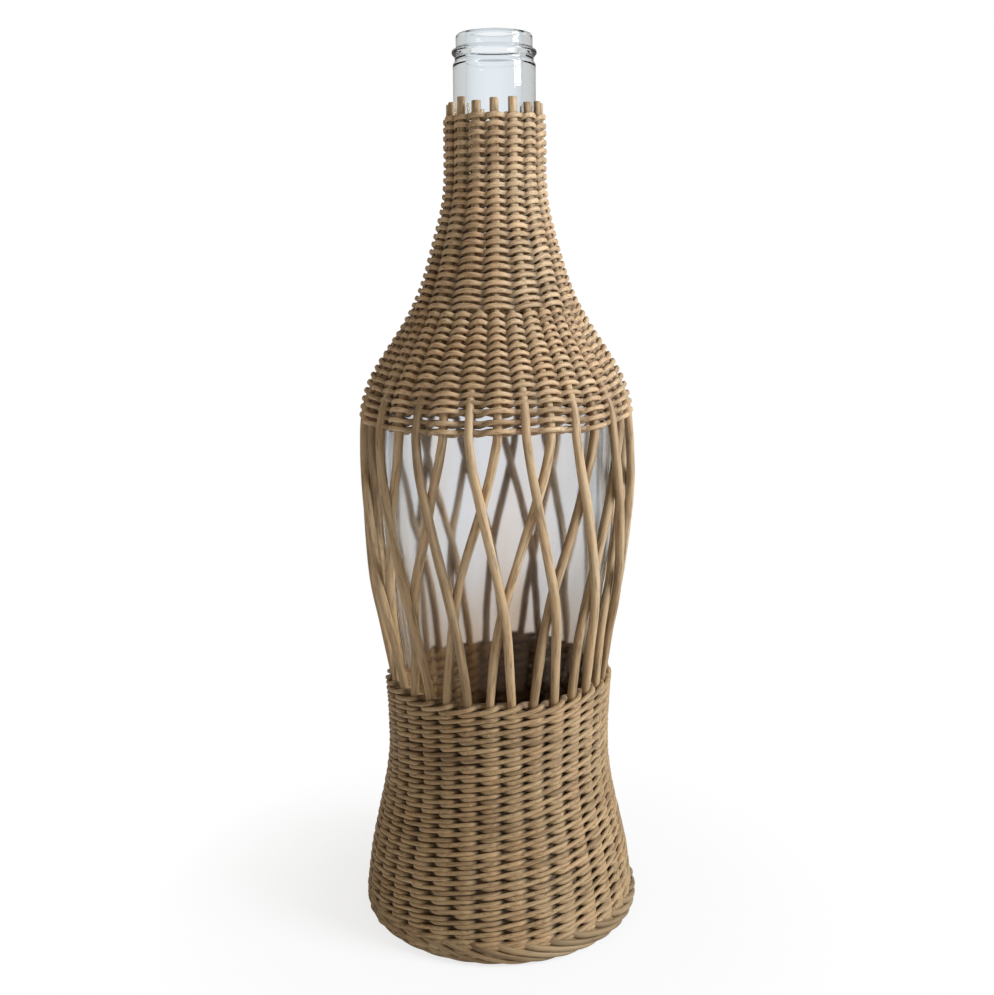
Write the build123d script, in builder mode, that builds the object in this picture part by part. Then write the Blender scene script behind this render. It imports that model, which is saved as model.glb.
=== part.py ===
# Waisted bottle of clear glass in a wicker jacket, in millimetres.
# The origin is under the middle of the bottle, on the surface that it stands on, and +Z is up.
# An azimuth is in degrees from the front, which faces -Y, and grows towards the right, which is +X.
# The glass outline leads: each layer of the jacket takes its radius from the glass at the same level.

import os
from collections import namedtuple
from math import cos, radians, sin

from build123d import *

os.makedirs("parts", exist_ok=True)

# Glass bottle: outline from the foot to the neck. It runs straight from corner to corner.
bottle_height = 325.0
foot_radius = 44.5
waist_radius = 35.1
body_radius = 42.6
shoulder_chamfer = 10.0
collar_radius = 22.1
neck_radius = 14.4

# Glass bottle: levels of the outline's corners, as shares of the bottle's height
foot_share = 0.023
waist_share = 0.191
waist_top_share = 0.277
body_share = 0.462
shoulder_share = 0.6163
collar_share = 0.7292
neck_share = 0.8308

# Glass bottle: walls, base with its bearing ring and push-up
bore_radius = 10.0
body_wall = 2.8
base_thickness = 4.5
bearing_radius = 40.0
bearing_width = 4.0
push_up_height = 5.0
floor_chamfer = 5.0

# Glass bottle: finish at the mouth
lip_radius = 13.3
lip_height = 5.0
lip_chamfer = 1.0
bead_radius = 14.7
bead_width = 2.4
bead_crest = 1.0
groove_radius = 13.7
groove_width = 2.6

# Wicker jacket: levels of the basket's rim and of the upper weave, as shares of the bottle's height
basket_rim_share = 0.2938
weave_rim_share = 0.5862
weave_top_share = 0.9138

# Wicker jacket: how far the cut ends of the long stakes stand above the weave, and how uneven they are
stake_end_length = 4.8
stake_end_spread = 0.9

# Direction of the front, in degrees from +X
front_angle = -90.0

# Wicker jacket: stakes, where a pair is one long and one short stake
stake_pairs = 16
stake_sides = 6
stake_radius = 1.6
neck_stake_radius = 1.1
open_gap = 2.1
crossing_gap = 0.2
crossing_places = 2
jacket_lean = -4.0

# Wicker jacket: radial thickness of the strands in front of the stakes and behind them
front_thickness = 1.9
back_thickness = 1.5
neck_front_thickness = 1.0
neck_back_thickness = 0.5
fit_gap = 0.1

# Space between the glass and the strands behind the stakes
neck_slack = 0.3
shoulder_slack = 1.4
waist_slack = 0.6
foot_slack = 1.2

# Foot border: each stake's lower end is laid over to the right and outwards
tail_radius = 1.15
tail_turn = 21.0
tail_reach = 2.3

# Heights of the woven rings: upper weave from its rim (0) to the foot of the neck (1),
# basket from the foot level (0) to the waist level (1)
shoulder_ring_shares = (0.0, 0.23, 0.52, 0.66, 1.0)
flare_ring_shares = (0.0, 1.0)
short_stake_end_share = 0.52

# Ribs of the strands in front: radius of the dip between two stakes as a share of the crest's radius,
# where every stake has its rib, and above the short stakes, where only the long ones have
dip_share = 0.95
neck_dip_share = 0.93

# Open zone, from the basket's rim (0) to the upper weave's rim (1): height, air gap between glass and
# long stakes, how far the stakes have turned, and how far the short stakes stand outside the long ones
OpenShares = namedtuple("OpenShares", "height gap turn parting")
open_shares = (
    OpenShares(0.12, 0.5, 0.095, 0.75),
    OpenShares(0.27, 0.36, 0.25, 1.0),
    OpenShares(0.67, 0.7, 0.68, 1.0),
    OpenShares(0.86, 0.95, 0.885, 1.0),
)

# Foot border, from the foot level (0) down to the end of a tail (1): turn, reach outwards, drop and
# thinning, with the dip in degrees
TailShares = namedtuple("TailShares", "turn reach drop thinning dip")
tail_shares = (
    TailShares(0.1, 0.25, 0.25, 0.5, 52.0),
    TailShares(0.33, 0.55, 0.56, 1.0, 22.0),
    TailShares(1.0, 1.0, 1.0, 1.0, 14.0),
)


def between(start, end, share):
    return start + (end - start) * share


def outward(azimuth):
    return Vector(sin(radians(azimuth)), -cos(radians(azimuth)), 0)


def rightward(azimuth):
    return Vector(cos(radians(azimuth)), sin(radians(azimuth)), 0)


# Outline of the glass from the foot to the finish, drawn as radius and level
foot_level = bottle_height * foot_share
waist_level = bottle_height * waist_share
neck_level = bottle_height * neck_share
shoulder_corner = (body_radius, bottle_height * shoulder_share)
outline_corners = (
    (foot_radius, foot_level),
    (waist_radius, waist_level),
    (waist_radius, bottle_height * waist_top_share),
    (body_radius, bottle_height * body_share),
    shoulder_corner,
    (collar_radius, bottle_height * collar_share),
    (neck_radius, neck_level),
)
bead_top = bottle_height - lip_height
bead_bottom = bead_top - bead_width
neck_top = bead_bottom - groove_width

with BuildLine() as glass_outline:
    Polyline(*outline_corners, (neck_radius, neck_top))
    chamfer(glass_outline.vertices().sort_by_distance(shoulder_corner)[0], shoulder_chamfer)


def glass_radius(level):
    level_line = Line((0, level), (foot_radius + body_radius, level), mode=Mode.PRIVATE)
    return glass_outline.wires()[0].intersect(level_line)[0].X


# One level of the jacket, with the layers round the glass from the inside outwards
Ring = namedtuple("Ring", "level back_bore back_face stake_centre stake_radius front_bore front_face")


def ring(level, slack, back, stake, front):
    back_bore = glass_radius(level) + slack
    back_face = back_bore + back
    centre = back_face + fit_gap + stake
    front_bore = centre + stake + fit_gap
    return Ring(level, back_bore, back_face, centre, stake, front_bore, front_bore + front)


def shoulder_ring(share):
    return ring(
        between(weave_rim_level, neck_level, share),
        between(shoulder_slack, neck_slack, share),
        between(back_thickness, neck_back_thickness, share),
        between(stake_radius, neck_stake_radius, share),
        between(front_thickness, neck_front_thickness, share),
    )


def flare_ring(share):
    level = between(foot_level, waist_level, share)
    slack = between(foot_slack, waist_slack, share)
    return ring(level, slack, back_thickness, stake_radius, front_thickness)


basket_rim_level = bottle_height * basket_rim_share
weave_rim_level = bottle_height * weave_rim_share
weave_top_level = bottle_height * weave_top_share

shoulder_rings = [shoulder_ring(share) for share in shoulder_ring_shares]
weave_top_ring = shoulder_rings[-1]._replace(level=weave_top_level)
upper_rings = shoulder_rings + [weave_top_ring]
fork = shoulder_ring_shares.index(short_stake_end_share)
forked_rings, single_rings = upper_rings[: fork + 1], upper_rings[fork:]
rim_ring = ring(basket_rim_level, waist_slack, back_thickness, stake_radius, front_thickness)
lower_rings = [flare_ring(share) for share in flare_ring_shares] + [rim_ring]

# Stakes stand at an even pitch, long and short ones by turns. Between shoulder and basket the long ones
# move to the left and the short ones to the right, by the same count of places, and all share one lean.
stake_count = 2 * stake_pairs
stake_pitch = 360.0 / stake_count
long_turn = jacket_lean - crossing_places * stake_pitch
short_turn = jacket_lean + crossing_places * stake_pitch
stake_parting = 2 * stake_radius + crossing_gap

# One point on the middle line of a stake, with the angle by which the stake points down there
RodPoint = namedtuple("RodPoint", "azimuth radius level dip thickness")
straight_down = 90.0


def points_in_weave(azimuth, rings):
    return [
        RodPoint(azimuth, place.stake_centre, place.level, straight_down, place.stake_radius)
        for place in reversed(rings)
    ]


def points_in_open_zone(shoulder_azimuth, turn, is_short):
    points = []
    for shares in reversed(open_shares):
        level = between(basket_rim_level, weave_rim_level, shares.height)
        radius = glass_radius(level) + open_gap * shares.gap + stake_radius
        if is_short:
            radius += stake_parting * shares.parting
        azimuth = between(shoulder_azimuth + turn, shoulder_azimuth, shares.turn)
        points.append(RodPoint(azimuth, radius, level, straight_down, stake_radius))
    return points


def points_in_border(azimuth):
    start = lower_rings[0]
    points = []
    for shares in tail_shares:
        radius = start.stake_centre + tail_reach * shares.reach
        level = between(start.level, tail_radius, shares.drop)
        thickness = between(stake_radius, tail_radius, shares.thinning)
        points.append(RodPoint(azimuth + tail_turn * shares.turn, radius, level, shares.dip, thickness))
    return points


# A rod with flat sides through the given points, with a corner of each section facing outwards
def build_rod(name, points):
    with BuildPart() as rod:
        for point in points:
            origin = point.radius * outward(point.azimuth) + Vector(0, 0, point.level)
            dip = radians(point.dip)
            along = cos(dip) * rightward(point.azimuth) - Vector(0, 0, sin(dip))
            with BuildSketch(Plane(origin, x_dir=outward(point.azimuth), z_dir=along)):
                RegularPolygon(point.thickness, stake_sides)
        loft(ruled=True)
    rod.part.label = name
    export_step(rod.part, f"parts/{name}.step")


# A stake from its upper end down through the upper weave, the open zone, the basket and the border
def build_stake(name, azimuth, turn, is_short, upper_part):
    points = points_in_weave(azimuth, upper_part)
    points += points_in_open_zone(azimuth, turn, is_short)
    points += points_in_weave(azimuth + turn, lower_rings)
    build_rod(name, points + points_in_border(azimuth + turn))


def build_long_stake(number):
    end_level = weave_top_level + stake_end_length + stake_end_spread * sin(number * number)
    end_ring = weave_top_ring._replace(level=end_level)
    name = f"long_stake_{number + 1:02}"
    build_stake(name, 2 * number * stake_pitch, long_turn, False, shoulder_rings + [end_ring])


def build_short_stake(number):
    upper_part = [shoulder_ring(share) for share in shoulder_ring_shares if share <= short_stake_end_share]
    name = f"short_stake_{number + 1:02}"
    build_stake(name, (2 * number + 1) * stake_pitch, short_turn, True, upper_part)


# The layer behind the stakes as one closed wall. Strands run straight from stake to stake, so it is a ring
# of flat bays. One bay between two stakes is cut to its wedge and repeated round the bottle.
def build_back_weave(name, rings, first_azimuth):
    half_bay = stake_pitch / 2
    flat_share = cos(radians(half_bay))
    outer_side = [(place.back_face * flat_share, place.level) for place in rings]
    inner_side = [(place.back_bore * flat_share, place.level) for place in reversed(rings)]
    with BuildPart() as bay:
        with BuildSketch(Plane.XZ):
            with BuildLine():
                Polyline(*outer_side, *inner_side, close=True)
            make_face()
        extrude(amount=foot_radius, both=True)
        split(bisect_by=Plane.XZ.rotated((0, 0, half_bay)), keep=Keep.TOP)
        split(bisect_by=Plane.XZ.rotated((0, 0, -half_bay)), keep=Keep.BOTTOM)
    with BuildPart() as weave:
        with PolarLocations(0, stake_count, start_angle=front_angle + first_azimuth + half_bay):
            add(bay.part)
    weave.part.label = name
    export_step(weave.part, f"parts/{name}.step")


# Upright ribs of the layer in front of the stakes: its strands pass over each stake in a crest and dip
# between two stakes. One flank, from the crest to the middle of the dip, is cut to its wedge, mirrored and
# repeated round the bottle.
def build_ribs(rings, count, dip, first_azimuth):
    half_rib = 180.0 / count
    outer_side = [(place.front_face, place.level) for place in rings]
    inner_side = [(place.front_bore, place.level) for place in reversed(rings)]
    down_the_flank = Vector(dip * cos(radians(half_rib)) - 1, dip * sin(radians(half_rib)), 0)
    with BuildPart(mode=Mode.PRIVATE) as rib:
        with BuildSketch(Plane.XZ):
            with BuildLine():
                Polyline(*outer_side, *inner_side, close=True)
            make_face()
        extrude(amount=foot_radius, dir=down_the_flank)
        split(bisect_by=Plane.XZ.rotated((0, 0, half_rib)), keep=Keep.TOP)
        mirror(about=Plane.XZ)
    with PolarLocations(0, count, start_angle=front_angle + first_azimuth):
        add(rib.part)


def build_shoulder_front_weave(name):
    with BuildPart() as weave:
        build_ribs(forked_rings, stake_count, dip_share, 0)
        build_ribs(single_rings, stake_pairs, neck_dip_share, 0)
    weave.part.label = name
    export_step(weave.part, f"parts/{name}.step")


def build_basket_front_weave(name):
    with BuildPart() as weave:
        build_ribs(lower_rings, stake_count, dip_share, jacket_lean)
    weave.part.label = name
    export_step(weave.part, f"parts/{name}.step")


def build_glass():
    bearing_inside = bearing_radius - bearing_width
    groove_bottom = neck_top + neck_radius - groove_radius
    bead_middle = (bead_bottom + bead_top) / 2
    bore_edge = (bore_radius, bottle_height - lip_chamfer)
    floor_level = push_up_height + base_thickness
    floor_start = (foot_radius - body_wall, floor_level + floor_chamfer)
    inside_corners = [(radius - body_wall, level) for radius, level in outline_corners[1:-1]]
    with BuildLine() as inside:
        Polyline(floor_start, *inside_corners, (bore_radius, neck_level), bore_edge)
        inside_shoulder = (body_radius - body_wall, shoulder_corner[1])
        chamfer(inside.vertices().sort_by_distance(inside_shoulder)[0], shoulder_chamfer)

    with BuildPart() as bottle:
        with BuildSketch(Plane.XZ):
            with BuildLine():
                add(glass_outline.line)
                # Finish: groove, bead and lip
                Polyline(
                    (neck_radius, neck_top),
                    (groove_radius, groove_bottom),
                    (groove_radius, bead_bottom),
                    (bead_radius, bead_middle - bead_crest / 2),
                    (bead_radius, bead_middle + bead_crest / 2),
                    (lip_radius, bead_top),
                    (lip_radius, bottle_height - lip_chamfer),
                    (lip_radius - lip_chamfer, bottle_height),
                    (bore_radius + lip_chamfer, bottle_height),
                    bore_edge,
                )
                add(inside.line)
                # Floor, push-up and bearing ring
                Polyline(
                    floor_start,
                    (floor_start[0] - floor_chamfer, floor_level),
                    (0, floor_level),
                    (0, push_up_height),
                    (bearing_inside, push_up_height),
                    (bearing_inside, 0),
                    (bearing_radius, 0),
                    (foot_radius, foot_level),
                )
            make_face()
        revolve(axis=Axis.Z)
    bottle.part.label = "glass_bottle"
    export_step(bottle.part, "parts/glass_bottle.step")


build_glass()
for pair in range(stake_pairs):
    build_long_stake(pair)
    build_short_stake(pair)
build_shoulder_front_weave("shoulder_front_weave")
build_back_weave("shoulder_back_weave", upper_rings, 0)
build_basket_front_weave("basket_front_weave")
build_back_weave("basket_back_weave", lower_rings, jacket_lean)
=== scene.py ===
# Waisted glass bottle in a wicker jacket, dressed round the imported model.
# Sizes of the pieces are millimetres and degrees, and every mesh is made in metres. Sizes in the finishes,
# the studio and the view are metres. An azimuth counts from the front, which is -Y, towards the right.
import math

import bpy
import numpy as np
from mathutils import Matrix


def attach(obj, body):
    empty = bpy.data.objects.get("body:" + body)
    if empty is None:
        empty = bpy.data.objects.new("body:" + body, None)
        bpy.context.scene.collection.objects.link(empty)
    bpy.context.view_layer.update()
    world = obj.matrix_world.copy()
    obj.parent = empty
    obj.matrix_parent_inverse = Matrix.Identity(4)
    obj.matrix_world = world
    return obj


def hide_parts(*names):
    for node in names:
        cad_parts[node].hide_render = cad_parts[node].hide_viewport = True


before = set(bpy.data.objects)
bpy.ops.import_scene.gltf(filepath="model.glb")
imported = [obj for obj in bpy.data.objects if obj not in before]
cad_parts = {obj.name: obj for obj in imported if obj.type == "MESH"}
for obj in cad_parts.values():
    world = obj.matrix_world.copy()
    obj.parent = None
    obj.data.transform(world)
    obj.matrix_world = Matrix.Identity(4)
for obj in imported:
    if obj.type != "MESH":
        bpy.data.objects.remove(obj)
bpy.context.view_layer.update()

mm = 0.001
fullTurn = 2 * math.pi


# Smooth curve through given points: on each stretch a cubic whose slopes at both ends are the
# mean slopes of the stretches that meet there.
def smoothThrough(x, pairs):
    xs, ys = np.array(pairs, float).T
    steps = np.diff(xs)
    rises = np.diff(ys) / steps
    slopes = np.empty(len(xs))
    slopes[1:-1] = (rises[:-1] * steps[1:] + rises[1:] * steps[:-1]) / (steps[:-1] + steps[1:])
    slopes[0], slopes[-1] = rises[0], rises[-1]
    i = np.clip(np.searchsorted(xs, x) - 1, 0, len(xs) - 2)
    h = steps[i]
    t = np.clip((x - xs[i]) / h, 0, 1)
    start = (2 * t**3 - 3 * t**2 + 1) * ys[i] + (t**3 - 2 * t**2 + t) * h * slopes[i]
    return start + (3 * t**2 - 2 * t**3) * ys[i + 1] + (t**3 - t**2) * h * slopes[i + 1]


# Gentle irregularity: the mean of a few sine waves of seeded lengths and phases, scaled up so that it
# swings between about -1 and 1.
def ripple(x, seed, shortest=0.6, longest=4.0, waves=5, scale=1.6):
    rng = np.random.default_rng(seed)
    lengths = rng.uniform(shortest, longest, waves)
    phases = rng.uniform(0, fullTurn, waves)
    return np.mean([np.sin(fullTurn * x / a + b) for a, b in zip(lengths, phases)], axis=0) * scale


# Ripple by a row of a dictionary: its size, the length that counts as one, shortest and longest wave in
# such lengths, and how many waves.
def rippleBy(row, x, seed):
    size, one, shortest, longest, waves = row
    return ripple(x / one, seed, shortest, longest, waves) * size


# Soft step from 0 to 1: three squares less two cubes of x, held between its ends
def smoothStep(x):
    t = np.clip(x, 0, 1)
    return t * t * (3 - 2 * t)


# Point of a turned form: radius and azimuth become x and y, and the level stays
def roundPoint(radius, azimuth, level):
    return np.stack([radius * np.sin(azimuth), -radius * np.cos(azimuth), level], axis=-1)


# Vectors divided by their lengths
def unit(vectors):
    return vectors / np.linalg.norm(vectors, axis=-1, keepdims=True)


# The jacket: its outside as seen against the background, from the foot to the top of the weave
jacket = {
    "outside": [
        # level, radius
        (-2.0, 51.6), (4.0, 51.9), (12.0, 51.6), (22.6, 50.2), (32.8, 48.2), (43.1, 45.9), (53.2, 43.9),
        (63.0, 42.6), (73.0, 42.5), (83.0, 42.8), (95.5, 43.5), (112.0, 44.9), (131.0, 47.8), (150.0, 49.8),
        (168.0, 51.0), (182.0, 51.1), (191.0, 50.6), (199.5, 49.2), (208.3, 45.6), (217.0, 40.1),
        (225.7, 34.4), (234.3, 29.8), (242.8, 26.5), (251.2, 24.0), (259.7, 21.5), (267.9, 19.4),
        (276.2, 18.5), (288.5, 18.4), (297.0, 18.2), (304.0, 17.9),
    ],
    "rodRadius": [
        # level, radius
        (-2.0, 1.55), (95.0, 1.56), (130.0, 1.64), (165.0, 1.6), (200.0, 1.5), (232.0, 1.42), (262.0, 1.1),
        (304.0, 1.05),
    ],
    "strandDepth": [
        # level, half a strand's depth
        (-2.0, 0.9), (95.0, 0.9), (190.0, 0.92), (225.0, 0.78), (268.0, 0.52), (304.0, 0.5),
    ],
    "steps": 1600,
    "pairs": 16,
    "lean": -4.0,  # the stakes in the basket stand this far from those in the upper weave
    "basketRim": 95.5,
    "weaveRim": 190.5,
    "weaveTop": 297.6,
    "forkLevel": 231.8,  # end of the short stakes
    "uneven": [
        # size, wave over the level, shares of the azimuth's sine and cosine, seed
        (0.6, 90.0, 1.3, 0.7, 11),  # turn
        (0.55, 60.0, -0.9, 1.1, 12),  # level
        (0.25, 60.0, 1.7, 1.0, 13),  # radius
    ],
    "evenFoot": 25.0,
}
rodPitch = 180.0 / jacket["pairs"]  # long and short stakes take turns


# Middle surface of the jacket, where the rods stand: the outside curve moved inwards along its normal by
# one strand and one rod radius. Returned as radius, level, and the normal's two parts, over the run length.
def middleSurface():
    level = np.linspace(jacket["outside"][0][0], jacket["outside"][-1][0], jacket["steps"])
    radius = smoothThrough(level, jacket["outside"])
    slope = np.gradient(radius, level)
    length = np.hypot(slope, 1)
    out, up = 1 / length, -slope / length
    inset = 2 * smoothThrough(level, jacket["strandDepth"]) + smoothThrough(level, jacket["rodRadius"])
    radius, level = radius - out * inset, level - up * inset
    run = np.concatenate([[0], np.cumsum(np.hypot(np.diff(radius), np.diff(level)))])
    return run, radius, level, out, up


surfaceRun, surfaceRadius, surfaceLevel, surfaceOut, surfaceUp = middleSurface()


# Run length of the middle surface at a level
def runAt(level):
    return np.interp(level, surfaceLevel, surfaceRun)


# The whole jacket is a little uneven: a smooth push of turn, level and radius that all its pieces share.
# Each is a ripple of the level over its wave plus shares of the azimuth's sine and cosine. Level and radius
# stay even at the foot.
def uneven(azimuth, level):
    turn, lift, push = (
        ripple(level / wave + sine * np.sin(azimuth) + cosine * np.cos(azimuth), seed) * size
        for size, wave, sine, cosine, seed in jacket["uneven"]
    )
    fade = smoothStep(level / jacket["evenFoot"])
    return np.radians(turn), lift * fade, push * fade


# Points and outward normals at a run length and azimuth, pushed off the middle surface by offset
def onJacket(run, azimuth, offset):
    radius = np.interp(run, surfaceRun, surfaceRadius)
    level = np.interp(run, surfaceRun, surfaceLevel)
    out = np.interp(run, surfaceRun, surfaceOut)
    up = np.interp(run, surfaceRun, surfaceUp)
    turn, lift, push = uneven(azimuth, level)
    azimuth = azimuth + turn
    points = roundPoint(radius + push + out * offset, azimuth, level + lift + up * offset)
    return points, roundPoint(out, azimuth, up)


tubeShape = {
    "squareness": 0.86,  # power of the cosine and sine, where 1 is a true ellipse
    "capShare": 0.8,
    "capBulge": 0.12,
}


# Tube along a path: at each path point an ellipse spanned by the outward normal (depth) and the direction
# square to path and normal (width), with corners pressed slightly square. Both ends are closed by a rim
# turned in over a low cap. The map runs in metres along the path and from 0 to 1 round it.
def tube(name, path, normals, depth, width, sides, material, tone, recess):
    count = len(path)
    along = unit(np.gradient(path, axis=0))
    outward = unit(normals - np.sum(normals * along, axis=1, keepdims=True) * along)
    across = np.cross(along, outward)
    side = np.arange(sides)
    c, s = np.cos(side * fullTurn / sides), np.sin(side * fullTurn / sides)
    power = tubeShape["squareness"]
    c, s = np.sign(c) * np.abs(c) ** power, np.sign(s) * np.abs(s) ** power
    depth, width = np.broadcast_to(depth, count), np.broadcast_to(width, count)
    rings = path[:, None] + (depth[:, None] * c)[..., None] * outward[:, None]
    rings = rings + (width[:, None] * s)[..., None] * across[:, None]
    start = np.arange(count - 1)[:, None] * sides
    after = (side + 1) % sides
    quads = np.stack([start + side, start + after, start + sides + after, start + sides + side], axis=-1)

    # Caps: at each end a smaller ring and a middle point, both moved a little out along the path
    middles, bulge = path[[0, -1]], along[[0, -1]] * [[-tubeShape["capBulge"]], [tubeShape["capBulge"]]]
    inner = middles[:, None] + (rings[[0, -1]] - middles[:, None]) * tubeShape["capShare"] + bulge[:, None]
    vertices = np.concatenate([rings.reshape(-1, 3), inner.reshape(-1, 3), middles + bulge])
    edge = np.stack([side, (count - 1) * sides + side])
    lid = count * sides + np.stack([side, sides + side])
    hub = (count + 2) * sides + np.array([[0], [1]]) + 0 * side
    rim = np.stack([edge, lid, np.roll(lid, -1, axis=1), np.roll(edge, -1, axis=1)], axis=-1)
    fan = np.stack([lid, hub, np.roll(lid, -1, axis=1)], axis=-1)
    rim[1], fan[1] = rim[1, :, ::-1], fan[1, :, ::-1]
    quads = np.concatenate([quads.reshape(-1, 4), rim.reshape(-1, 4)])

    run = np.concatenate([[0], np.cumsum(np.linalg.norm(np.diff(path, axis=0), axis=1))]) * mm
    u = np.repeat(np.stack([run[:-1], run[:-1], run[1:], run[1:]], axis=-1)[:, None], sides, axis=1)
    v = np.tile(np.stack([side, side + 1, side + 1, side], axis=-1) / sides, (count - 1, 1, 1))
    uv = np.stack([u.reshape(-1), v.reshape(-1)], axis=-1)
    endUv = np.concatenate([np.repeat(run[[0, -1]], 4 * sides), np.repeat(run[[0, -1]], 3 * sides)])
    uv = np.concatenate([uv, np.stack([endUv, 0 * endUv], axis=-1)])

    mesh = bpy.data.meshes.new(name)
    mesh.from_pydata((vertices * mm).tolist(), [], quads.tolist() + fan.reshape(-1, 3).tolist())
    isEnd = np.arange(len(mesh.polygons)) >= (count - 1) * sides
    mesh.polygons.foreach_set("use_smooth", ~isEnd)
    mesh.uv_layers.new(name="alongStrand").data.foreach_set("uv", uv.reshape(-1))
    endRings = np.concatenate([np.repeat([0, count - 1], sides), [0, count - 1]])
    for label, given in (("tone", tone), ("recess", recess)):
        given = np.broadcast_to(given, count)
        perPoint = np.concatenate([np.repeat(given, sides), given[endRings]]).astype(np.float32)
        mesh.attributes.new(label, "FLOAT", "POINT").data.foreach_set("value", perPoint)
    mesh.materials.append(material)
    mesh.materials.append(cutEnd)
    mesh.polygons.foreach_set("material_index", isEnd.astype(np.int32))
    piece = bpy.data.objects.new(name, mesh)
    bpy.context.scene.collection.objects.link(piece)
    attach(piece, "root")
    return piece


# Shader maths: a value wraps an output socket, and an expression on values adds its Math nodes
class Value:
    def __init__(self, tree, socket):
        self.tree, self.socket = tree, socket

    def maths(self, operation, first, second):
        node = self.tree.nodes.new("ShaderNodeMath")
        node.operation = operation
        for slot, given in enumerate((first, second)):
            if isinstance(given, Value):
                self.tree.links.new(given.socket, node.inputs[slot])
            else:
                node.inputs[slot].default_value = given
        return Value(self.tree, node.outputs[0])

    def __add__(self, other):
        return self.maths("ADD", self, other)

    def __radd__(self, other):
        return self.maths("ADD", other, self)

    def __sub__(self, other):
        return self.maths("SUBTRACT", self, other)

    def __rsub__(self, other):
        return self.maths("SUBTRACT", other, self)

    def __mul__(self, other):
        return self.maths("MULTIPLY", self, other)

    def __rmul__(self, other):
        return self.maths("MULTIPLY", other, self)

    def __truediv__(self, other):
        return self.maths("DIVIDE", self, other)

    def __rtruediv__(self, other):
        return self.maths("DIVIDE", other, self)

    def atMost(self, other):
        return self.maths("MINIMUM", self, other)

    # Held between 0 and 1
    def held(self):
        return self.maths("MAXIMUM", self, 0.0).atMost(1.0)


# The nodes of a material or of the world
class Finish:
    def __init__(self, owner):
        self.owner = owner
        owner.use_nodes = True
        self.tree = owner.node_tree
        self.tree.nodes.clear()

    # A node of a type, with its settings set first and then its sockets given values or links
    def add(self, kind, settings=None, sockets=None, output=0):
        node = self.tree.nodes.new(kind)
        for name, given in (settings or {}).items():
            if name == "stops":
                ramp = node.color_ramp
                while len(ramp.elements) < len(given):
                    ramp.elements.new(0.5)
                for element, (place, colour) in zip(ramp.elements, given):
                    element.position, element.color = place, colour
            else:
                setattr(node, name, given)
        for name, given in (sockets or {}).items():
            socket = node.inputs[name]
            if isinstance(given, Value):
                self.tree.links.new(given.socket, socket)
            else:
                socket.default_value = given
        return Value(self.tree, node.outputs[output])

    def noise(self, place, scale, detail, roughness):
        sockets = {"Vector": place, "Scale": scale, "Detail": detail, "Roughness": roughness}
        return self.add("ShaderNodeTexNoise", sockets=sockets)

    # One part of a vector, by its axis
    def part(self, vector, axis):
        return self.add("ShaderNodeSeparateXYZ", sockets={"Vector": vector}, output=axis)

    def mixColour(self, share, first, second, blend="MIX"):
        settings = {"data_type": "RGBA", "blend_type": blend, "clamp_factor": True}
        return self.add("ShaderNodeMix", settings, {0: share, 6: first, 7: second}, output=2)

    # Links the shader to the closing node, and hands the material or world back
    def finishWith(self, shader, kind="ShaderNodeOutputMaterial"):
        node = self.tree.nodes.new(kind)
        self.tree.links.new(shader.socket, node.inputs["Surface"])
        return self.owner


wicker = {
    "dark": (0.24, 0.16, 0.085, 1),
    "middle": (0.46, 0.335, 0.20, 1),
    "light": (0.60, 0.46, 0.29, 1),
    "stops": {"dark": 0.12, "middle": 0.42, "light": 0.82},  # places of the three on the colour ramp
    # painted shade, for the hollows of the weave and for the side that faces the glass
    "shadeColour": (0.06, 0.036, 0.018, 1),
    "amber": (0.52, 0.30, 0.12, 1),
    "fibreLength": 0.011,
    "fibresRound": 9.0,
    "toneShift": (7.3, 31.0),  # moves the fibres of one strand away from those of the next
    "blotchSize": 0.022,
    "fibreShare": 0.95,
    "toneShare": 0.6,
    "blotchShare": 0.55,
    "shadeDrop": 0.6,
    "ruddy": (1.0, 0.935, 0.89, 1),
    "ruddySize": 0.014,
    "ruddyFrom": 0.52,
    "ruddyGain": 4.0,
    "ruddyTone": 0.2,
    "streakFrom": 0.37,
    "streakGain": 9.0,
    "streakShare": 0.75,
    # shares of painted shade on the side that faces the glass and in the hollows
    "innerShade": 0.08,
    "recessShade": 0.85,
    "roughness": 0.56,
    "fibreRoughness": 0.25,
    "recessRoughness": 0.2,
    "bumpDepth": 0.00012,
    "footHeight": 0.013,
    "footFade": 0.004,
    "shadeTop": 0.15,
    "shadeDepth": 0.05,
}
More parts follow.
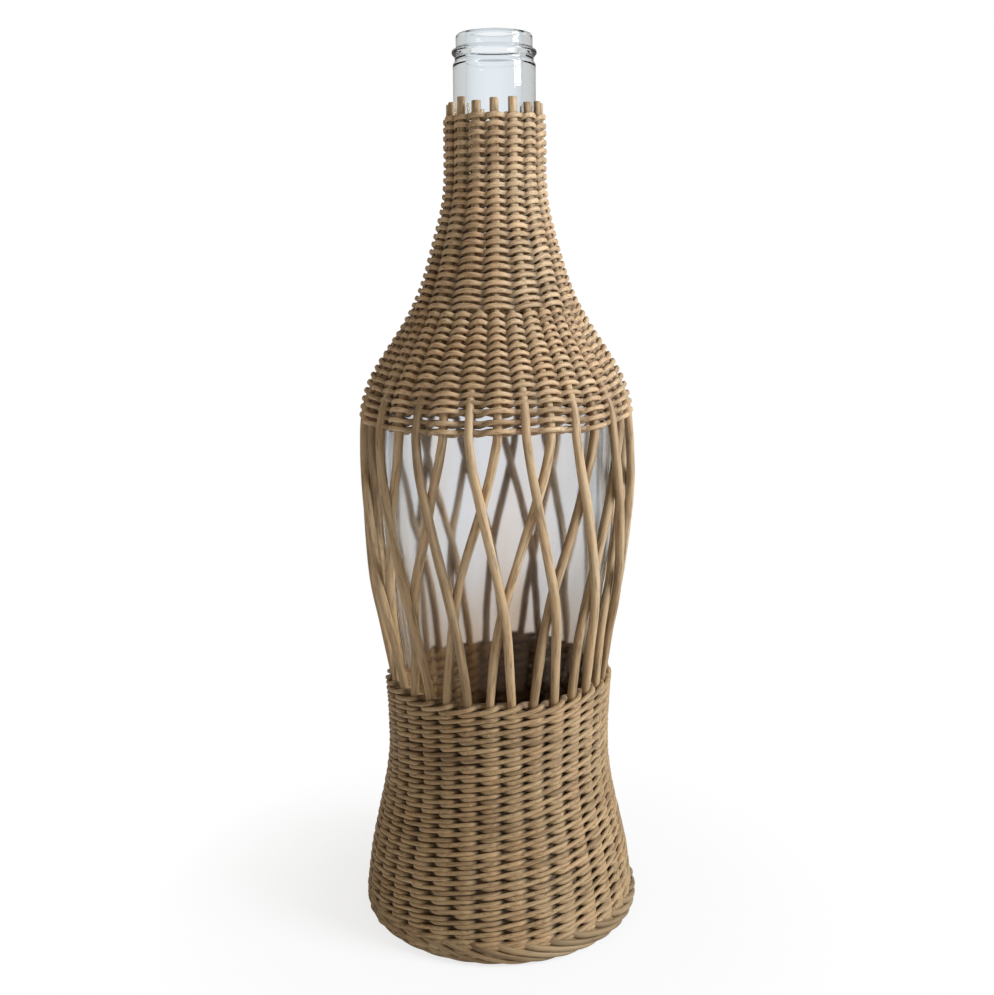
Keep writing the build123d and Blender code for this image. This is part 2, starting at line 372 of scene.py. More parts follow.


# Peeled rod: long fibres along the rod, slow blotches over the jacket, some of them ruddy, one tone a
# strand, dark streaks, painted shade in the hollows of the weave and on the side that faces the glass, and a
# soft waxy shine. Where a foot tint and a low shade tint are given, the colour is multiplied by them at the
# border and, as painted shadow of the body, just above the basket.
def wickerFinish(name, tint, warmth, footTint=None, lowShadeTint=None):
    f = Finish(bpy.data.materials.new(name))
    uv = f.add("ShaderNodeUVMap", {"uv_map": "alongStrand"})
    place = f.add("ShaderNodeTexCoord", output="Object")
    tone = f.add("ShaderNodeAttribute", {"attribute_name": "tone"}, output="Fac")
    recess = f.add("ShaderNodeAttribute", {"attribute_name": "recess"}, output="Fac")
    shiftX, shiftZ = wicker["toneShift"]
    seedShift = f.add("ShaderNodeCombineXYZ", sockets={"X": tone * shiftX, "Y": 0.0, "Z": tone * shiftZ})
    stretch = (1 / wicker["fibreLength"], wicker["fibresRound"], 1.0)
    stretched = f.add("ShaderNodeMapping", sockets={"Vector": uv, "Scale": stretch})
    grainAt = f.add("ShaderNodeVectorMath", {"operation": "ADD"}, {0: stretched, 1: seedShift})
    fibre = f.noise(grainAt, scale=1.0, detail=5.0, roughness=0.62)
    blotch = f.noise(place, scale=1 / wicker["blotchSize"], detail=3.0, roughness=0.5)
    ruddy = f.noise(place, scale=1 / wicker["ruddySize"], detail=2.0, roughness=0.5)

    shade = fibre * wicker["fibreShare"] + tone * wicker["toneShare"] + blotch * wicker["blotchShare"]
    shade = shade - wicker["shadeDrop"]
    tinted = {k: tuple(a * b for a, b in zip(wicker[k], tint)) for k in wicker["stops"]}
    stops = [(stop, tinted[k]) for k, stop in wicker["stops"].items()]
    colour = f.add("ShaderNodeValToRGB", {"stops": stops}, {"Fac": shade})
    ruddyShare = ((ruddy + tone * wicker["ruddyTone"] - wicker["ruddyFrom"]) * wicker["ruddyGain"]).held()
    colour = f.mixColour(ruddyShare, colour, wicker["ruddy"], "MULTIPLY")
    clean = ((fibre - wicker["streakFrom"]) * wicker["streakGain"]).held()
    colour = f.mixColour((1 - clean) * wicker["streakShare"], colour, tinted["dark"])
    # The side that faces the glass lies half way round the map, and painted shade darkens it
    inward = 0.5 - 0.5 * f.add("ShaderNodeMath", {"operation": "COSINE"}, {0: f.part(uv, "Y") * fullTurn})
    colour = f.mixColour(inward * inward * wicker["innerShade"], colour, wicker["shadeColour"])
    # Painted shade in the hollows of the weave, by each piece's recess
    colour = f.mixColour(recess * wicker["recessShade"], colour, wicker["shadeColour"])
    colour = f.mixColour(warmth, colour, wicker["amber"], "SOFT_LIGHT")
    if footTint and lowShadeTint:
        height = f.part(place, "Z")
        nearFoot = ((wicker["footHeight"] - height) / wicker["footFade"]).held()
        colour = f.mixColour(nearFoot, colour, footTint, "MULTIPLY")
        # Painted shadow of the body on the stakes: darker below the shade top, down to the border
        low = ((wicker["shadeTop"] - height) / wicker["shadeDepth"]).held()
        low = low * ((height - wicker["footHeight"]) / wicker["footFade"]).held()
        colour = f.mixColour(low, colour, lowShadeTint, "MULTIPLY")

    bump = f.add(
        "ShaderNodeBump",
        sockets={"Strength": 0.6, "Distance": wicker["bumpDepth"], "Height": fibre},
    )
    roughness = wicker["roughness"] + (fibre - 0.5) * wicker["fibreRoughness"]
    roughness = roughness + recess * wicker["recessRoughness"]
    shader = f.add(
        "ShaderNodeBsdfPrincipled",
        sockets={
            "Base Color": colour,
            "Roughness": roughness,
            "Normal": bump,
            "Specular IOR Level": 0.42,
            "Sheen Weight": 0.08,
            "Sheen Roughness": 0.5,
        },
    )
    return f.finishWith(shader)


cutRod = {
    "pores": 1600.0,  # to the metre
    "poreDepth": 0.0001,
    "dark": (0.30, 0.19, 0.10, 1),
    "light": (0.52, 0.38, 0.22, 1),
}


# Cut end of a rod: pith with fine pores, dull and darker than the sides
def cutEndFinish():
    f = Finish(bpy.data.materials.new("cutRodEnd"))
    place = f.add("ShaderNodeTexCoord", output="Object")
    pith = f.noise(place, scale=cutRod["pores"], detail=2.0, roughness=0.5)
    colour = f.mixColour(pith, cutRod["dark"], cutRod["light"])
    bump = f.add("ShaderNodeBump", sockets={"Strength": 0.5, "Distance": cutRod["poreDepth"], "Height": pith})
    shader = f.add(
        "ShaderNodeBsdfPrincipled", sockets={"Base Color": colour, "Roughness": 0.8, "Normal": bump}
    )
    return f.finishWith(shader)


glassLooks = {
    "neck": (0.885, 0.915, 0.94, 1),
    "middle": (0.83, 0.838, 0.86, 1),
    "band": (0.84, 0.81, 0.79, 1),
    "bandWidth": 0.016,
    "bandHeight": 0.09,
    "bandFrom": 0.45,
    "bandGain": 6.0,
    "bodyTop": 0.24,
    "bodyFade": 0.03,
    # beige haze just above the basket, partly painted shade over the inside of the jacket
    "hazeAndShade": (0.72, 0.62, 0.52, 1),
    "hazeAndShadeTop": 0.148,
    "hazeAndShadeDepth": 0.042,
    "hazeAndShadeLeast": 0.6,
    "bodyRoughness": 0.07,
    "edge": (0.5, 0.55, 0.55, 1),
    "sheen": (0.34, 0.27, 0.22, 1),
    "edgeWidth": 0.3,
    "ior": 1.5,
    "waveSize": 0.02,
    "waveDepth": 0.0006,
    "shadowTint": (0.98, 0.97, 0.95, 1),
}


# Pressed bottle glass: clear at the neck, and on the body a little dull, with slow waves in its surface,
# faint upright bands of a warmer grey, and just above the basket a beige haze that is partly painted shade
# over the inside of the jacket. Lamps shine through it.
def glassFinish():
    f = Finish(bpy.data.materials.new("clearBottleGlass"))
    place = f.add("ShaderNodeTexCoord", output="Object")
    wave = f.noise(place, scale=1 / glassLooks["waveSize"], detail=1.0, roughness=0.4)
    bump = f.add(
        "ShaderNodeBump", sockets={"Strength": 0.5, "Distance": glassLooks["waveDepth"], "Height": wave}
    )
    across, upright = 1 / glassLooks["bandWidth"], 1 / glassLooks["bandHeight"]
    banded = f.add("ShaderNodeMapping", sockets={"Vector": place, "Scale": (across, across, upright)})
    band = f.noise(banded, scale=1.0, detail=2.0, roughness=0.5)
    height = f.part(place, "Z")
    belowNeck = ((glassLooks["bodyTop"] - height) / glassLooks["bodyFade"]).held()
    warm = ((band - glassLooks["bandFrom"]) * glassLooks["bandGain"]).held()
    body = f.mixColour(warm, glassLooks["middle"], glassLooks["band"])
    # Beige haze and painted shade over the jacket's inside, stronger in the warm bands
    hazeAndShadeShare = ((glassLooks["hazeAndShadeTop"] - height) / glassLooks["hazeAndShadeDepth"]).held()
    hazeAndShadeShare = hazeAndShadeShare * (glassLooks["hazeAndShadeLeast"] + warm * (1 - glassLooks["hazeAndShadeLeast"]))
    body = f.mixColour(hazeAndShadeShare, body, glassLooks["hazeAndShade"], "MULTIPLY")
    body = f.mixColour(belowNeck, glassLooks["neck"], body)
    edge = f.add("ShaderNodeLayerWeight", sockets={"Blend": glassLooks["edgeWidth"]}, output="Facing")
    glass = f.add(
        "ShaderNodeBsdfPrincipled",
        sockets={
            "Base Color": f.mixColour(edge, body, glassLooks["edge"]),
            "Roughness": belowNeck * glassLooks["bodyRoughness"],
            "IOR": glassLooks["ior"],
            "Specular Tint": glassLooks["sheen"],
            "Transmission Weight": 1.0,
            "Normal": bump,
        },
    )
    clear = f.add("ShaderNodeBsdfTransparent", sockets={"Color": glassLooks["shadowTint"]})
    isShadow = f.add("ShaderNodeLightPath", output="Is Shadow Ray")
    return f.finishWith(f.add("ShaderNodeMixShader", sockets={0: isShadow, 1: glass, 2: clear}))


upperWicker = wickerFinish("peeledWickerUpper", tint=(1.2, 1.14, 1.11, 1), warmth=0.05)
# The stakes' low tint is painted shadow of the body just above the basket
stakeWicker = wickerFinish(
    "peeledWickerStakes", tint=(1.0, 0.965, 0.93, 1), warmth=0.05, footTint=(0.62, 0.6, 0.54, 1),
    lowShadeTint=(0.8, 0.765, 0.7, 1),
)
basketWicker = wickerFinish("peeledWickerBasket", tint=(0.865, 0.785, 0.665, 1), warmth=0.0)
cutEnd = cutEndFinish()
glassMaterial = glassFinish()
print("stage: materials made")


# Glass bottle: corners given as radius, level and rounding, from the underside round to the floor inside
glass = {
    "underside": [(0.0, 5.0, 0.0), (33.0, 5.0, 3.0), (36.6, 0.0, 1.0), (39.4, 0.0, 3.0)],
    "outline": [
        (44.5, 7.5, 12.0), (35.1, 62.0, 60.0), (35.1, 90.0, 90.0), (42.6, 150.0, 120.0), (42.6, 200.3, 42.0),
        (22.1, 237.0, 45.0), (14.4, 270.0, 60.0), (14.4, 315.0, 1.2),
    ],
    "finish": [
        (13.7, 315.9, 0.6), (13.7, 317.2, 0.5), (14.75, 318.4, 0.8), (14.75, 319.4, 0.8), (13.3, 320.3, 0.5),
        (13.3, 325.0, 1.5),
    ],
    "inside": [
        (10.2, 325.0, 1.6), (10.0, 321.0, 3.0), (10.0, 270.0, 60.0), (19.3, 237.0, 45.0), (39.8, 200.3, 39.0),
        (39.8, 150.0, 120.0), (32.3, 90.0, 90.0), (32.3, 62.0, 60.0), (41.0, 12.0, 7.0),
    ],
    "floor": [(34.0, 9.5, 3.0), (0.0, 9.5, 0.0)],
    "segments": 160,
    "cornerSteps": 10,
    "longestCurve": 0.48,  # share of a side that the curve of one corner may take
    "closest": 1e-4,
}


# Outline through corners given as radius, level and rounding: each corner becomes a curve that starts and
# ends on its two sides, at the rounding times the tangent of half the turn from the corner.
def roundedOutline(corners):
    points = np.array([c[:2] for c in corners], float)
    pieces = [points[:1]]
    t = np.linspace(0, 1, glass["cornerSteps"])[:, None]
    for before, corner, after, rounding in zip(points, points[1:], points[2:], [c[2] for c in corners[1:]]):
        back, ahead = before - corner, after - corner
        backLength, aheadLength = np.linalg.norm(back), np.linalg.norm(ahead)
        turn = math.pi - math.acos(np.clip(back @ ahead / (backLength * aheadLength), -1, 1))
        longest = glass["longestCurve"]
        reach = min(rounding * math.tan(turn / 2), longest * backLength, longest * aheadLength)
        a, b = corner + back / backLength * reach, corner + ahead / aheadLength * reach
        pieces.append((1 - t) ** 2 * a + 2 * t * (1 - t) * corner + t**2 * b)
    pieces.append(points[-1:])
    return np.concatenate(pieces)


# Turned form: the outline carried round the axis, with one point where it meets the axis at each end
def buildGlass():
    outline = roundedOutline(
        glass["underside"] + glass["outline"] + glass["finish"] + glass["inside"] + glass["floor"]
    )
    apart = np.linalg.norm(np.diff(outline, axis=0), axis=1) > glass["closest"]
    outline = outline[np.concatenate([[True], apart])]
    body = outline[1:-1]
    rows, columns = len(body), glass["segments"]
    azimuth = np.arange(columns) * fullTurn / columns
    grid = roundPoint(body[:, :1], azimuth[None], np.repeat(body[:, 1:], columns, axis=1))
    ends = np.array([[0, 0, outline[0, 1]], [0, 0, outline[-1, 1]]])
    vertices = np.concatenate([grid.reshape(-1, 3), ends]) * mm
    row, column = np.arange(rows - 1)[:, None] * columns, np.arange(columns)
    after = (column + 1) % columns
    quads = np.stack([row + column, row + after, row + columns + after, row + columns + column], axis=-1)
    quads = quads.reshape(-1, 4).tolist()
    first = np.stack([np.full(columns, rows * columns), after, column], axis=-1).tolist()
    last = (rows - 1) * columns
    final = np.stack([np.full(columns, rows * columns + 1), last + column, last + after], axis=-1).tolist()
    mesh = bpy.data.meshes.new("glassBottle")
    mesh.from_pydata(vertices.tolist(), [], quads + first + final)
    mesh.polygons.foreach_set("use_smooth", np.ones(len(mesh.polygons), bool))
    mesh.materials.append(glassMaterial)
    piece = bpy.data.objects.new("glassBottle", mesh)
    bpy.context.scene.collection.objects.link(piece)
    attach(piece, "root")
    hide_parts("glass_bottle")


buildGlass()
print("stage: glass bottle made")


rods = {
    "longTurn": -26.5,
    "shortTurn": 18.5,
    "openZone": [
        # share of the open zone's height, share of the turn
        (0.0, 0.0), (0.14, 0.08), (0.28, 0.17), (0.4, 0.28), (0.58, 0.515), (0.76, 0.755), (0.9, 0.92),
        (1.0, 1.0),
    ],
    # share of the open zone's height, gap from the middle surface
    "longGap": [(0.0, 0.0), (0.12, -0.35), (0.27, -0.9), (0.67, -1.6), (0.86, -1.2), (1.0, 0.0)],
    "shortGap": [(0.0, 0.0), (0.12, 1.0), (0.27, 1.9), (0.67, 1.8), (0.86, 1.5), (1.0, 1.15)],
    "gapFade": 22.0,
    "wander": 0.3,
    "wanderWave": 90.0,
    "straightEnds": 0.2,
    "unevenRadius": 0.05,
    "radiusWave": 20.0,
    "neckFlattening": 1.5,
    "neckFrom": 235.0,
    "neckOver": 35.0,
    "topSpread": 0.9,
    "topLevel": 301.8,
    "steps": 150,
    "sides": 12,
    "tones": (0.1, 1.0),
    # painted shade on a rod inside the weaves: from this far inside them, over this length, but not at the
    # ends
    "paintedShade": 0.4,
    "upperPaintedShade": 0.3,
    "paintedShadeDepth": 3.0,
    "paintedShadeFade": 6.0,
    "unshadedTop": 2.0,
    "unshadedFoot": 5.0,
    "tail": [
        # share of the tail, drop share, turn in degrees, reach outwards
        (0.0, 0.0, 0.0, 0.0), (0.08, 0.07, 1.2, 1.6), (0.18, 0.17, 4.8, 3.3), (0.4, 0.42, 13.5, 4.1),
        (0.62, 0.69, 23.0, 3.9), (0.84, 0.92, 33.0, 3.2), (1.0, 1.0, 40.0, 1.8),
    ],
    "tailSteps": 40,
    "tailScale": 0.84,
    "tailLean": 0.22,
    "tailStart": 1.5,
    "tailRadius": 1.04,
    "tailThinning": 3.0,
    "tailLift": 0.1,
    "tipRadius": 0.6,
    "tipFrom": 0.62,
    "borderLevel": 8.8,
}


# Middle line of a rod from its top down to the border: on the jacket's middle surface, turned and pushed
# off it in the open zone by the shares above, then laid over to the right at the foot.
def rodPath(azimuth, turn, gaps, topLevel, seed):
    rim, floor = jacket["weaveRim"], jacket["basketRim"]
    level = np.linspace(topLevel, rods["borderLevel"], rods["steps"])
    share = np.clip((level - floor) / (rim - floor), 0, 1)
    turnShare = 1 - smoothThrough(share, rods["openZone"])
    gap = smoothThrough(share, gaps) * (1 - smoothStep((level - rim) / rods["gapFade"]))
    ends = rods["straightEnds"]
    straightness = smoothStep(share / ends) * smoothStep((1 - share) / ends)
    wander = ripple(level / rods["wanderWave"], seed) * straightness * rods["wander"]
    angle = np.radians(azimuth + turn * turnShare + wander)
    points, normals = onJacket(runAt(level), angle, gap)
    swell = 1 + rods["unevenRadius"] * ripple(level / rods["radiusWave"], seed + 1)
    return points, normals, smoothThrough(level, jacket["rodRadius"]) * swell


# Tail of a rod: from the border level it sinks, turns to the right, reaches outwards and thins to its tip.
# The reach is larger on the right side, where the foot bulges.
def tailPath(startPoint):
    startAngle = math.atan2(startPoint[0], -startPoint[1])
    share = np.linspace(0, 1, rods["tailSteps"])[1:]
    table = np.array(rods["tail"])
    drop, turn, reach = (smoothThrough(share, table[:, [0, k]]) for k in (1, 2, 3))
    level = startPoint[2] + (rods["tailRadius"] + rods["tailLift"] - startPoint[2]) * drop
    angle = startAngle + np.radians(turn)
    reach = reach * (rods["tailScale"] + rods["tailLean"] * np.sin(angle))
    radius = math.hypot(startPoint[0], startPoint[1]) + reach
    thinned = smoothStep(share * rods["tailThinning"])
    thick = rods["tailStart"] + (rods["tailRadius"] - rods["tailStart"]) * thinned
    tip = smoothStep((share - rods["tipFrom"]) / (1 - rods["tipFrom"]))
    thick = thick + (rods["tipRadius"] - thick) * tip
    return roundPoint(radius, angle, level), roundPoint(np.ones(len(share)), angle, 0 * share), thick


# Rod with its tail: a tube along both paths, flatter on the neck, and with painted shade where the weaves
# hide it
def buildRod(name, node, azimuth, turn, gaps, topLevel, seed):
    points, normals, radius = rodPath(azimuth, turn, gaps, topLevel, seed)
    tailPoints, tailNormals, tailThick = tailPath(points[-1])
    path = np.concatenate([points, tailPoints])
    depth = np.concatenate([radius, tailThick])
    level = path[:, 2]
    onNeck = smoothStep((level - rods["neckFrom"]) / rods["neckOver"])
    width = depth * (1 + (rods["neckFlattening"] - 1) * onNeck)
    tone = np.random.default_rng(seed).uniform(*rods["tones"])
    # Painted shade where the basket hides the rod, a smaller share where the upper weave hides it, none at
    # the top or foot
    inside, fade = rods["paintedShadeDepth"], rods["paintedShadeFade"]
    hidden = smoothStep((jacket["basketRim"] - inside - level) / fade)
    hidden = hidden + rods["upperPaintedShade"] * smoothStep((level - jacket["weaveRim"] - inside) / fade)
    hidden = hidden * (1 - smoothStep((level - jacket["weaveTop"]) / rods["unshadedTop"]))
    hidden = hidden * smoothStep((level - rods["unshadedFoot"]) / fade)
    piece = tube(
        name, path, np.concatenate([normals, tailNormals]), depth, width, rods["sides"], stakeWicker, tone,
        hidden * rods["paintedShade"],
    )
    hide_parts(node)


for number in range(jacket["pairs"]):
    top = rods["topLevel"] + rods["topSpread"] * math.sin(number * number)
    azimuth = 2 * number * rodPitch
    buildRod(
        f"longStake{number + 1:02}", f"long_stake_{number + 1:02}", azimuth, rods["longTurn"],
        rods["longGap"], top, 100 + number,
    )
    buildRod(
        f"shortStake{number + 1:02}", f"short_stake_{number + 1:02}", azimuth + rodPitch,
        rods["shortTurn"], rods["shortGap"], jacket["forkLevel"], 200 + number,
    )
print("stage: stakes made")


# Paired weaving. A table's first number is the place, where 0 is in front of a stake and 1 behind the next
# one. A wave's row is its size, the length that counts as one, shortest and longest wave, and their count.
upperWeave = {
    "start": 1.2,
    "shoulderPitch": 2.95,
    "neckPitch": 2.78,
    "width": 0.99,
    "sides": 10,
    "shoulderSteps": 8,
    "neckSteps": 10,
    "offset": [
        (-1.0, -1.0), (-0.68, -0.5), (-0.45, 0.3), (-0.2, 0.92), (0.0, 1.0), (0.25, 0.93), (0.48, 0.45),
        (0.68, -0.3), (1.0, -1.0),
    ],
    "reach": 0.99,
    "lift": [
        (-1.0, -0.3), (-0.74, -0.9), (-0.5, -0.72), (-0.25, 0.0), (0.0, 0.3), (0.25, 0.22), (0.5, 0.0),
        (0.74, 0.05), (1.0, -0.3),
    ],
    "taper": [
        (-1.0, 1.3), (-0.72, 1.3), (-0.56, 1.15), (-0.4, 0.84), (-0.2, 0.86), (0.0, 0.91), (0.25, 0.85),
        (0.42, 0.78), (0.58, 1.1), (0.76, 1.3), (1.0, 1.3),
    ],
    "neckFrom": 225.0,
    "neckOver": 30.0,
    "innerThinning": 0.45,
    # the second strand stays low over the short stakes near the rim, so that these stand proud
    "proud": {"level": 195.0, "fade": 18.0, "share": 0.72},
    "arch": {"least": 0.6, "level": 198.0, "over": 30.0},
    # a few rows near the rim leave a slit in front
    "slit": {"azimuth": -12.0, "spread": 24.0, "level": 196.8, "rise": 0.9, "over": 2.0, "fade": 14.0},
    "closeWave": (0.12, 9.0, 0.5, 3.0, 7),
    "longWave": (0.2, 120.0, 0.7, 2.5, 6),
    "thickWave": (0.07, 5.0, 0.6, 3.0, 6),
    "tone": 0.6,
    "toneWave": (0.3, 220.0, 0.4, 3.0, 7),
    "closeTone": (0.25, 5.0, 0.5, 2.0, 7),
    # painted shade where a strand lies back among the others: less on its inner side and near the rim
    "paintedShade": {"from": 0.88, "over": 0.65, "lessShadeInside": 0.6, "insideOver": 0.9},
    "paintedShadeShare": {"most": 0.78, "lessAtRim": 0.25, "level": 195.0, "over": 35.0},
}


# Strand of paired weaving up the shoulder and neck. Counted in stakes, it stands in front of one and behind
# the next. It starts low from behind its left neighbour, arches over the stake and ends thin on the right.
# Above the short stakes' ends it counts the long ones only.
def upperStrand(which):
    look, seed = upperWeave, 300 + 10 * which
    runStart, runFork = runAt(jacket["weaveRim"] + look["start"]), runAt(jacket["forkLevel"])
    runEnd = runAt(jacket["weaveTop"])
    forkTurn = round((runFork - runStart) / look["shoulderPitch"] * jacket["pairs"]) / jacket["pairs"] * 360.0
    endTurn = round(forkTurn / 360.0 + (runEnd - runFork) / look["neckPitch"]) * 360.0
    lower = np.linspace(0, forkTurn, int(forkTurn / rodPitch * look["shoulderSteps"]), endpoint=False)
    upper = np.linspace(forkTurn, endTurn, int((endTurn - forkTurn) / (2 * rodPitch) * look["neckSteps"]))
    turn = np.concatenate([lower, upper])
    below, above = np.minimum(turn, forkTurn), np.maximum(turn - forkTurn, 0)
    s = below / rodPitch + above / (2 * rodPitch)
    run = runStart + below / forkTurn * (runFork - runStart)
    run = run + above / (endTurn - forkTurn) * (runEnd - runFork)
    place = np.mod(s + which + 1, 2) - 1
    level = np.interp(run, surfaceRun, surfaceLevel)
    rod, depth = smoothThrough(level, jacket["rodRadius"]), smoothThrough(level, jacket["strandDepth"])

    offset = smoothThrough(place, look["offset"])
    onNeck = smoothStep((level - look["neckFrom"]) / look["neckOver"])
    depth = depth * (1 - look["innerThinning"] * onNeck * smoothStep(-offset))
    proud = look["proud"]
    sunk = which * proud["share"] * (1 - smoothStep((level - proud["level"]) / proud["fade"]))
    offset = np.where(offset > 0, offset * (1 - sunk), offset)

    slit, arch = look["slit"], look["arch"]
    azimuth = np.mod(turn - slit["azimuth"], 360) - 180
    opened = np.exp(-((azimuth / slit["spread"]) ** 2)) * slit["rise"]
    aboveSlit = level - slit["level"]
    opened = opened * smoothStep(aboveSlit / slit["over"])
    opened = opened * (1 - smoothStep((aboveSlit - slit["over"]) / slit["fade"]))
    arched = arch["least"] + (1 - arch["least"]) * smoothStep((level - arch["level"]) / arch["over"])
    jitter = rippleBy(look["closeWave"], s, seed) + rippleBy(look["longWave"], turn, seed + 5)
    lift = smoothThrough(place, look["lift"]) * arched + jitter + opened
    points, normals = onJacket(run + lift, np.radians(turn + 180), offset * (depth + rod) * look["reach"])

    thick = (1 + rippleBy(look["thickWave"], s, seed + 1)) * smoothThrough(place, look["taper"])
    tone = look["tone"] + rippleBy(look["toneWave"], turn, seed + 2)
    tone = tone + rippleBy(look["closeTone"], s, seed + 3)
    paintedShade, share = look["paintedShade"], look["paintedShadeShare"]
    # Painted shade where the strand lies back behind the others
    recess = smoothStep((paintedShade["from"] - offset) / paintedShade["over"])
    recess = recess * (1 - paintedShade["lessShadeInside"] * smoothStep(-offset / paintedShade["insideOver"]))
    nearRim = 1 - smoothStep((level - share["level"]) / share["over"])
    recess = recess * (share["most"] - share["lessAtRim"] * nearRim)
    piece = tube(
        f"upperStrand{which + 1}", points, normals, depth * thick, look["width"] * thick, look["sides"],
        upperWicker, tone, recess,
    )
    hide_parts("shoulder_front_weave", "shoulder_back_weave")


# Three-rod wale. A table's first number counts stakes: behind the one at 0, in front of those at 1 and 2,
# and behind again at 3. A wave's row is as above.
basketWeave = {
    "start": 2.5,
    "belowRim": 1.6,
    "pitch": 3.5,
    "width": 0.82,
    "sides": 10,
    "steps": 8,
    "offset": [
        (0, -1), (0.5, -0.1), (0.85, 0.95), (1.15, 1.0), (1.85, 1.0), (2.15, 0.95), (2.5, -0.1), (3, -1),
    ],
    "reach": 0.99,
    "lift": [(0, 0.0), (0.5, -1.0), (1.0, -0.84), (1.5, 0.0), (2.0, 0.84), (2.5, 1.0), (3, 0.0)],
    "taper": [(0, 1.5), (0.45, 1.3), (0.9, 1.06), (1.5, 0.98), (2.1, 1.06), (2.55, 1.25), (3, 1.5)],
    "rimRise": {"more": 0.9, "over": 8.0, "from": 1.5},
    "footWidening": {"more": 0.4, "level": 6.0, "over": 5.0},
    "insideSpread": {"more": 0.28, "over": 0.6},
    "closeWave": (0.17, 9.0, 0.5, 3.0, 7),
    "longWave": (0.27, 20.0, 0.7, 2.5, 6),
    "thickWave": (0.1, 5.0, 0.6, 3.0, 6),
    "tone": 0.55,
    "toneWave": (0.3, 30.0, 0.4, 3.0, 7),
    "closeTone": (0.3, 5.0, 0.5, 2.0, 7),
    # painted shade in the hollows of the wale, where a strand dips back
    "paintedShade": {"from": 0.92, "over": 0.7, "insideFrom": 0.2},
}


# Strand of a three-rod wale round the basket: in front of two stakes and behind one, by the tables above.
# It climbs through its row while it is in front, and the last row's ends stand up at the rim.
def basketStrand(which):
    look, seed = basketWeave, 400 + 10 * which
    runStart, runEnd = runAt(look["start"]), runAt(jacket["basketRim"] - look["belowRim"])
    stakes = round((runEnd - runStart) / look["pitch"]) * 2 * jacket["pairs"]
    s = np.linspace(0, stakes, int(stakes * look["steps"]))
    cycle = np.mod(s - which, 3.0)
    run = runStart + (runEnd - runStart) * s / stakes
    level = np.interp(run, surfaceRun, surfaceLevel)
    rod, depth = smoothThrough(level, jacket["rodRadius"]), smoothThrough(level, jacket["strandDepth"])

    offset = smoothThrough(cycle, look["offset"])
    rise = look["rimRise"]
    atRim = smoothStep((s - stakes + 2 * jacket["pairs"]) / rise["over"]) * smoothStep(cycle - rise["from"])
    jitter = rippleBy(look["closeWave"], s, seed) + rippleBy(look["longWave"], s, seed + 5)
    lift = smoothThrough(cycle, look["lift"]) * (1 + rise["more"] * atRim) + jitter
    angle = np.radians(jacket["lean"] + 180 + s * rodPitch)
    points, normals = onJacket(run + lift, angle, offset * (depth + rod) * look["reach"])

    thick = (1 + rippleBy(look["thickWave"], s, seed + 1)) * smoothThrough(cycle, look["taper"])
    foot, spread, paintedShade = look["footWidening"], look["insideSpread"], look["paintedShade"]
    thick = thick * (1 + foot["more"] * (1 - smoothStep((level - foot["level"]) / foot["over"])))
    width = look["width"] * thick * (1 + spread["more"] * smoothStep(-offset / spread["over"]))
    tone = look["tone"] + rippleBy(look["toneWave"], s, seed + 2)
    tone = tone + rippleBy(look["closeTone"], s, seed + 3)
    # Painted shade where the strand dips back among the others, fading where it lies fully behind them
    recess = smoothStep((paintedShade["from"] - offset) / paintedShade["over"])
    recess = recess * (1 - smoothStep(paintedShade["insideFrom"] - offset / paintedShade["over"]))
    piece = tube(
        f"basketStrand{which + 1}", points, normals, depth * thick, width, look["sides"], basketWicker, tone,
        recess,
    )
    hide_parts("basket_front_weave", "basket_back_weave")


for which in range(2):
    upperStrand(which)
for which in range(3):
    basketStrand(which)
print("stage: weaves made")


studio = {
    "floorHalf": 3.0,
    "floorColour": (0.93, 0.93, 0.93, 1),
    "white": (1, 1, 1, 1),
    "nearShadow": 0.35,
    "shadowReach": 0.14,
    "mirroredLoss": 0.35,
    "worldStrength": 0.28,
    "worldTint": (1.0, 0.91, 0.77),
    "keyTint": (0.86, 0.93, 1.0),
    "keyEnergy": 24.0,
    "lampSize": 0.6,
    "keyPlace": (1.18, -0.48, 0.78),
    "fillEnergy": 0.5,
    "fillPlace": (-0.5, -1.1, 0.5),
    "target": (0, 0, 0.16),
}


# How far a ray sees the white background: straight rays fully, rays through the glass fully, or less by
# the mirrored loss where the glass has mirrored them on their way.
def seenShare(f):
    kinds = ("Is Camera Ray", "Is Transmission Ray", "Glossy Depth")
    straight, through, mirrorings = (f.add("ShaderNodeLightPath", output=kind) for kind in kinds)
    return (straight + through * (1 - mirrorings.atMost(1.0) * studio["mirroredLoss"])).atMost(1.0)


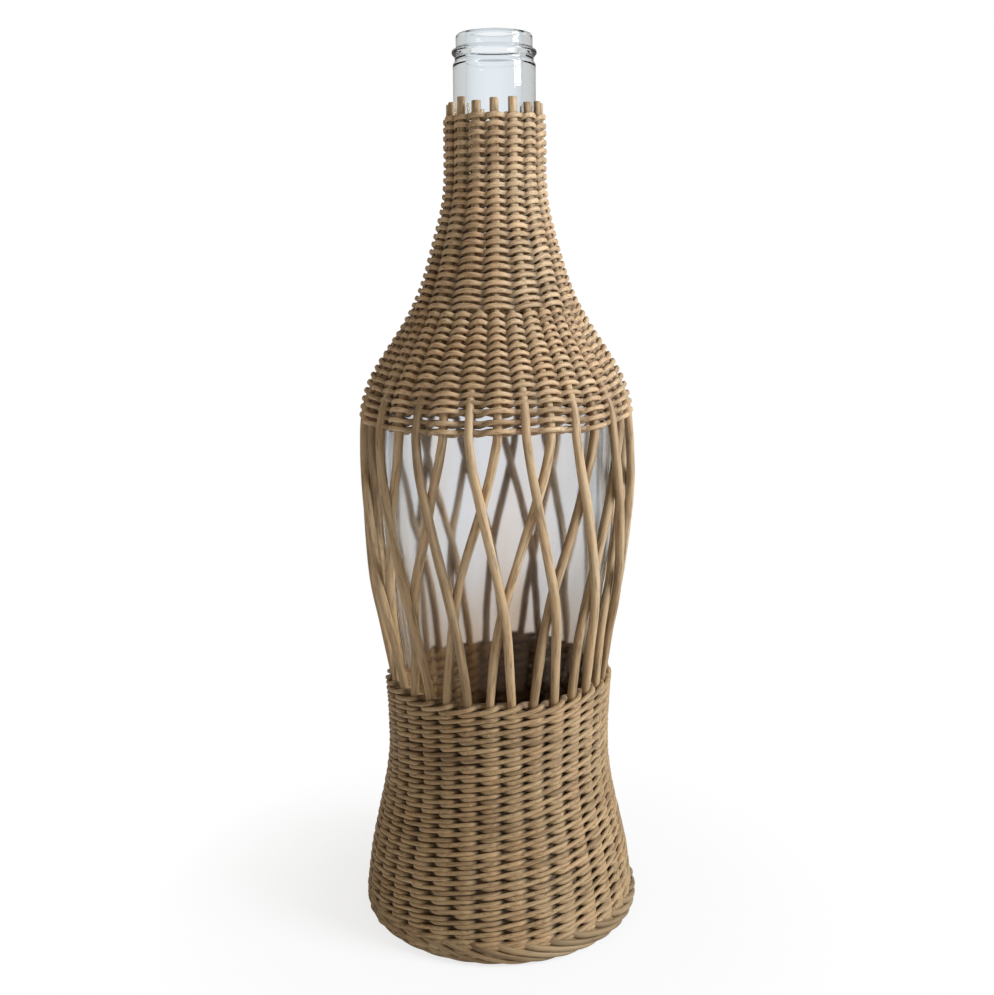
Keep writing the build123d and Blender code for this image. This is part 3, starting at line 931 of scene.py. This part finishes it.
# Pale floor: seen straight or through glass it is white, apart from a soft share of its own shading near
# the object, which keeps the shadow.
def buildFloor():
    f = Finish(bpy.data.materials.new("paleFloor"))
    place = f.add("ShaderNodeTexCoord", output="Object")
    distance = f.add("ShaderNodeVectorMath", {"operation": "LENGTH"}, {0: place}, output="Value")
    near = (1 - distance / studio["shadowReach"]).held()
    share = seenShare(f) * (1 - near * studio["nearShadow"])
    diffuse = f.add("ShaderNodeBsdfDiffuse", sockets={"Color": studio["floorColour"], "Roughness": 0.5})
    white = f.add("ShaderNodeEmission", sockets={"Color": studio["white"], "Strength": 1.0})
    shader = f.add("ShaderNodeMixShader", sockets={0: share, 1: diffuse, 2: white})
    half = studio["floorHalf"]
    corners = [(-half, -half, 0), (half, -half, 0), (half, half, 0), (-half, half, 0)]
    mesh = bpy.data.meshes.new("floor")
    mesh.from_pydata(corners, [], [(0, 1, 2, 3)])
    mesh.materials.append(f.finishWith(shader))
    floor = bpy.data.objects.new("floor", mesh)
    bpy.context.scene.collection.objects.link(floor)


# World: white where it is seen, and a dim warm light for everything else
def buildWorld():
    f = Finish(bpy.data.worlds.new("studio"))
    dim = [channel * studio["worldStrength"] for channel in studio["worldTint"]] + [1]
    colour = f.mixColour(seenShare(f), dim, studio["white"])
    background = f.add("ShaderNodeBackground", sockets={"Color": colour})
    bpy.context.scene.world = f.finishWith(background, "ShaderNodeOutputWorld")


# Square lamp that faces the middle of the bottle
def areaLight(name, place, energy, tint):
    light = bpy.data.lights.new(name, "AREA")
    light.energy, light.size, light.color = energy, studio["lampSize"], tint
    lamp = bpy.data.objects.new(name, light)
    bpy.context.scene.collection.objects.link(lamp)
    away = np.array(place) - np.array(studio["target"])
    lamp.location = place
    lamp.rotation_euler = (math.acos(away[2] / np.linalg.norm(away)), 0, math.atan2(away[0], -away[1]))


view = {
    "place": (0.0, -0.4386, 0.2529),
    "pitchDown": 11.78,
    "roll": -0.37,
    "lens": 43.46,  # millimetres, like the sensor
    "sensor": 36.0,
    "nearest": 0.01,
}


# Camera of the photograph: it looks down by its pitch and is rolled a little about its own axis
def buildCamera():
    camera = bpy.data.cameras.new("photographView")
    camera.lens, camera.sensor_width, camera.sensor_fit = view["lens"], view["sensor"], "HORIZONTAL"
    camera.clip_start = view["nearest"]
    eye = bpy.data.objects.new("photographView", camera)
    bpy.context.scene.collection.objects.link(eye)
    eye.location = view["place"]
    eye.rotation_mode = "XYZ"
    tilt = math.radians(90 - view["pitchDown"])
    turned = Matrix.Rotation(tilt, 4, "X") @ Matrix.Rotation(math.radians(view["roll"]), 4, "Z")
    eye.rotation_euler = turned.to_euler("XYZ")
    bpy.context.scene.camera = eye


buildFloor()
buildWorld()
areaLight("keyLight", studio["keyPlace"], studio["keyEnergy"], studio["keyTint"])
areaLight("fillLight", studio["fillPlace"], studio["fillEnergy"], studio["worldTint"])
buildCamera()
bpy.context.scene.view_settings.view_transform = "Standard"
print("stage: studio and camera made")
